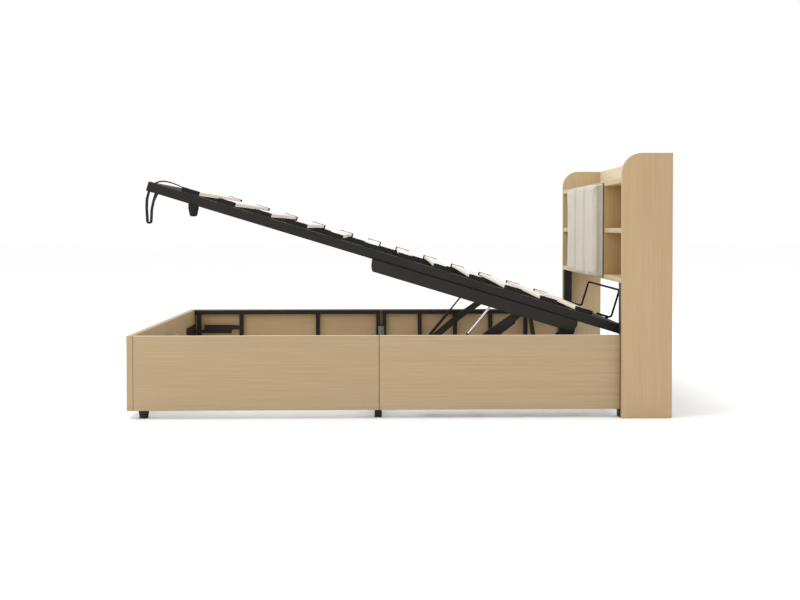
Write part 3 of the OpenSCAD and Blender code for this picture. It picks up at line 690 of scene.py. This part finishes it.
# ---------------------------------------------------------------- fastenings, welds and a painted shadow line
PLATE_S, PLATE_SHADE_LINE_Y, PLATE_SHADE_LINE_N = (0.942, 1.801), Y_OUT + 0.0036, 0.0030
TUBE_S = (0.0, PLAT_LEN - 0.040)  # where the platform's end tubes start
TUBE_WELD = (0.003, 0.027)  # and from where to where they are welded
PLATE_NUT_Y = Y_IN - 0.0116
# the ground pivots: seat of the bolt's head, and the head's height
HEADS = {"lift": (Y_IN - 0.0014, 0.0012), "near_link_turn": (Y_IN - 0.0014, 0.0012),
         "near_strut_turn": (Y_OUT - 0.0034, 0.0040)}


def bolt_at(bm, pivot, y, out, across, height):
    """A bolt's head or nut on a pivot's line, seated at y and pointing out."""
    p = PIVOT[pivot].copy()
    p.y = y
    hex_bolt(bm, p, (0, out, 0), across, height)


for tag, side in SIDES.items():
    rng = random.Random(31 + side)
    bm = bmesh.new()
    # a black bead along the lift plate's top edge stands for the shadow line where plate meets rail: painted shade
    weld(bm, *(on_plat(s, side * PLATE_SHADE_LINE_Y, PLATE_SHADE_LINE_N) for s in PLATE_S), 0.0016, rng)
    for s in TUBE_S:
        for edge in (0.0, RAIL_H):
            weld(bm, *(on_plat(s + ds, side * Y_IN, edge) for ds in TUBE_WELD), 0.0011, rng)
    add_object("platform_welds_" + tag, bm, M["wire"], "platform")

    bm = bmesh.new()
    bolt_at(bm, "platform_turn", side * PLATE_NUT_Y, -side, 0.0130, 0.0024)
    add_object("plate_pivot_nut_" + tag, bm, M["steel2"], "platform")

    bm = bmesh.new()
    for pivot, (y, height) in HEADS.items():
        bolt_at(bm, pivot, side * y, side, 0.0115, height)
    inner = min(abs(v.y) for v in lo_hi("lift_base_" + tag))
    for pivot in HEADS:
        bolt_at(bm, pivot, side * inner, -side, 0.0170, 0.0070)
    add_object("pivot_bolts_" + tag, bm, M["steel2"], "base")

# ---------------------------------------------------------------- panel joints
FOOT_GAP, SIDE_GAP = 0.001, 0.002  # at the foot panel, and between the two side boards
STRIP_FREE, STRIP_IN_Y, STRIP_IN_Z = 0.0001, 0.0012, 0.0008
TUBE_HALF = 0.010
PLUG, PLUG_X = (0.0022, 0.0186, 0.0186), 0.0054  # size, and place from the joint

# dark H-profiles in the joints between neighbouring panels; their dark also stands in for the shade in the gaps,
# as painted shade
for tag in SIDES:
    lo, hi = lo_hi("side_panel_" + tag + "_foot")
    bm = bmesh.new()
    for x, gap in ((lo.x - FOOT_GAP / 2, FOOT_GAP), (hi.x + SIDE_GAP / 2, SIDE_GAP)):
        block(bm, (x, (lo.y + hi.y) / 2, (lo.z + hi.z) / 2),
              (gap - STRIP_FREE, hi.y - lo.y - 2 * STRIP_IN_Y, hi.z - lo.z - 2 * STRIP_IN_Z))
    soften(bm, 0.0002)
    add_object("panel_joint_strip_" + tag, bm, M["socket"], "base")

# black plastic plugs in the open ends of the frame's long tubes
for tag in SIDES:
    lo, hi = lo_hi("frame_rails_" + tag)
    joint = lo_hi("side_panel_" + tag + "_foot")[1].x + SIDE_GAP / 2
    bm = bmesh.new()
    for x in (joint - PLUG_X, joint + PLUG_X):
        for z in (lo.z + TUBE_HALF, hi.z - TUBE_HALF):
            block(bm, (x, (lo.y + hi.y) / 2, z), PLUG)
    soften(bm, 0.0006)
    add_object("tube_plugs_" + tag, bm, M["socket"], "base")

# ---------------------------------------------------------------- padded panel
PAD_LO, PAD_HI = lo_hi("pad_cushion")
# the cover swells, so it starts smaller than its solid
SHORT_LO, SHORT_HI = Vector((0.0060, 0.0025, 0.0025)), Vector((0.0000, 0.0025, 0.0025))
CELLS = (6, 117, 68)
SEAMS = (39, 78)
SEAM_DEPTHS = (0.0055, 0.0022)  # at a seam and one cell beside it
FRAMES = 20
MOST_MOVE = 0.0070  # the furthest that the cloth may carry a point
SMOOTHINGS = 5
CLEAR = 0.0002


def box_grid(lo, hi, cells):
    """A closed box of even quads; returns the mesh and each vertex's number by grid place."""
    bm = bmesh.new()
    at = {}

    def vert(*place):
        if place not in at:
            at[place] = bm.verts.new([lo[a] + (hi[a] - lo[a]) * g / cells[a]
                                      for a, g in enumerate(place)])
        return at[place]

    def quad(*places):
        bm.faces.new([vert(*p) for p in places])

    nx, ny, nz = cells
    for j in range(ny):
        for k in range(nz):
            quad((0, j, k), (0, j, k + 1), (0, j + 1, k + 1), (0, j + 1, k))
            quad((nx, j, k), (nx, j + 1, k), (nx, j + 1, k + 1), (nx, j, k + 1))
    for i in range(nx):
        for k in range(nz):
            quad((i, 0, k), (i + 1, 0, k), (i + 1, 0, k + 1), (i, 0, k + 1))
            quad((i, ny, k), (i, ny, k + 1), (i + 1, ny, k + 1), (i + 1, ny, k))
        for j in range(ny):
            quad((i, j, 0), (i, j + 1, 0), (i + 1, j + 1, 0), (i + 1, j, 0))
            quad((i, j, nz), (i + 1, j, nz), (i + 1, j + 1, nz), (i, j + 1, nz))
    bm.verts.index_update()
    return bm, {place: v.index for place, v in at.items()}


bm, index = box_grid(PAD_LO + SHORT_LO, PAD_HI - SHORT_HI, CELLS)
mesh = bpy.data.meshes.new("pad")
bm.to_mesh(mesh)
bm.free()
for (i, j, _), n in index.items():
    beside = min(abs(j - s) for s in SEAMS)
    if i == 0 and beside < len(SEAM_DEPTHS):
        mesh.vertices[n].co.x += SEAM_DEPTHS[beside]
pad = add_object("pad_cushion_v", mesh, M["pad"], "base", ("pad_cushion",),
                 smooth=False)
sewn = [n for (i, j, _), n in index.items() if i == CELLS[0] or (i == 0 and j in SEAMS)]
pad.vertex_groups.new(name="sewn").add(sewn, 1.0, "REPLACE")
mod = pad.modifiers.new("cloth", "CLOTH")
cloth = mod.settings
cloth.quality = 6
cloth.mass = 0.25
cloth.use_pressure = True
cloth.uniform_pressure_force = 4.0
cloth.tension_stiffness = 12.0
cloth.compression_stiffness = 12.0
cloth.shear_stiffness = 4.0
cloth.bending_stiffness = 2.0
cloth.shrink_min = -0.012
cloth.vertex_group_mass = "sewn"
cloth.effector_weights.gravity = 0.0
mod.collision_settings.use_collision = False
mod.point_cache.frame_start = 1
mod.point_cache.frame_end = FRAMES
for number in range(1, FRAMES + 1):
    bpy.context.scene.frame_set(number)
deps = bpy.context.evaluated_depsgraph_get()
after = [v.co.copy() for v in pad.evaluated_get(deps).data.vertices]
pad.modifiers.remove(mod)
bpy.context.scene.frame_set(1)
for v, swollen in zip(mesh.vertices, after):
    move = swollen - v.co
    if move.length > MOST_MOVE:
        move *= MOST_MOVE / move.length
    v.co += move
# an upholsterer smooths the cover: even out the small ripples, not the seams
bm = bmesh.new()
bm.from_mesh(mesh)
held = set(sewn)
free = [v for v in bm.verts if v.index not in held]
for _ in range(SMOOTHINGS):
    bmesh.ops.smooth_vert(bm, verts=free, factor=0.5, use_axis_x=True, use_axis_y=True,
                          use_axis_z=True)
bm.to_mesh(mesh)
bm.free()
# keep the swollen form inside the space its panel is given
for v in mesh.vertices:
    for axis in range(3):
        v.co[axis] = min(max(v.co[axis], PAD_LO[axis] + CLEAR), PAD_HI[axis] - CLEAR)
mesh.update()
sub = pad.modifiers.new("smooth", "SUBSURF")
sub.levels = sub.render_levels = 1
mesh.polygons.foreach_set("use_smooth", [True] * len(mesh.polygons))

# piping where the cover meets its board, and two sewn seams with a row of stitches on each side; a dark line down
# each seam's crease is painted shade
WELT_R, WELT_OUT = 0.0012, Vector((-0.0016, 0, 0))
SEAM_SHADE_R, SEAM_SHADE_OUT = 0.0011, Vector((-0.0006, 0, 0))
STITCH_R, STITCH_Y, STITCH_OUT, STITCH_RISE = 0.00045, 0.0024, 0.0014, Vector((-0.0003, 0, 0))
STITCH_SPAN = (0.15, 0.75)  # the share of a cell that one stitch runs over
nx, ny, nz = CELLS
ring = ([(nx, j, 0) for j in range(ny)] + [(nx, ny, k) for k in range(nz)]
        + [(nx, ny - j, nz) for j in range(ny)] + [(nx, 0, nz - k) for k in range(nz + 1)])
lines = [[mesh.vertices[index[0, s, k]].co.copy() for k in range(nz + 1)] for s in SEAMS]
bm = bmesh.new()
tube(bm, [mesh.vertices[index[p]].co + WELT_OUT for p in ring], WELT_R, 8)
for line in lines:
    for dy in (-STITCH_Y, STITCH_Y):
        for low, high in zip(line[1:], line[2:-1]):
            a, b = (low.lerp(high, t) + Vector((-STITCH_OUT, dy, 0)) for t in STITCH_SPAN)
            tube(bm, [a, a.lerp(b, 0.5) + STITCH_RISE, b], STITCH_R, 6)
add_object("pad_welt_v", bm, M["welt"], "base")
# a dark tube along each seam's crease: painted shade
bm = bmesh.new()
for line in lines:
    tube(bm, [p + SEAM_SHADE_OUT for p in line], SEAM_SHADE_R, 8)
add_object("pad_seam_v", bm, M["seam"], "base")

# ---------------------------------------------------------------- stage and light
FLOOR_HALF, FLOOR_Z = 40.0, -0.0006
floor_mesh = bpy.data.meshes.new("floor")
floor_mesh.from_pydata([(x * FLOOR_HALF, y * FLOOR_HALF, FLOOR_Z)
                        for x, y in ((-1, -1), (1, -1), (1, 1), (-1, 1))], [], [(0, 1, 2, 3)])
floor = bpy.data.objects.new("floor", floor_mesh)
COLL.objects.link(floor)
floor_mesh.materials.append(Mat("floor_paper", (0.985, 0.985, 0.985), rough=0.9).mat)

world = bpy.data.worlds.new("studio")
bpy.context.scene.world = world
world.use_nodes = True
sky = world.node_tree.nodes["Background"]
sky.inputs["Color"].default_value = (1.0, 1.0, 1.0, 1.0)
sky.inputs["Strength"].default_value = 1.0


def area(name, loc, target, size, power):
    data = bpy.data.lights.new(name, "AREA")
    data.shape = "DISK"
    data.size = size
    data.energy = power
    obj = bpy.data.objects.new(name, data)
    COLL.objects.link(obj)
    obj.location = loc
    obj.rotation_euler = (Vector(target) - Vector(loc)).to_track_quat("-Z", "Y").to_euler()


bpy.context.scene.view_settings.view_transform = "Standard"
area("key", (-5.0, -3.0, 4.6), (0.0, 0.0, 0.4), 3.0, 90)
area("top", (-0.8, 0.0, 6.5), (0.3, 0.0, 0.4), 4.0, 150)
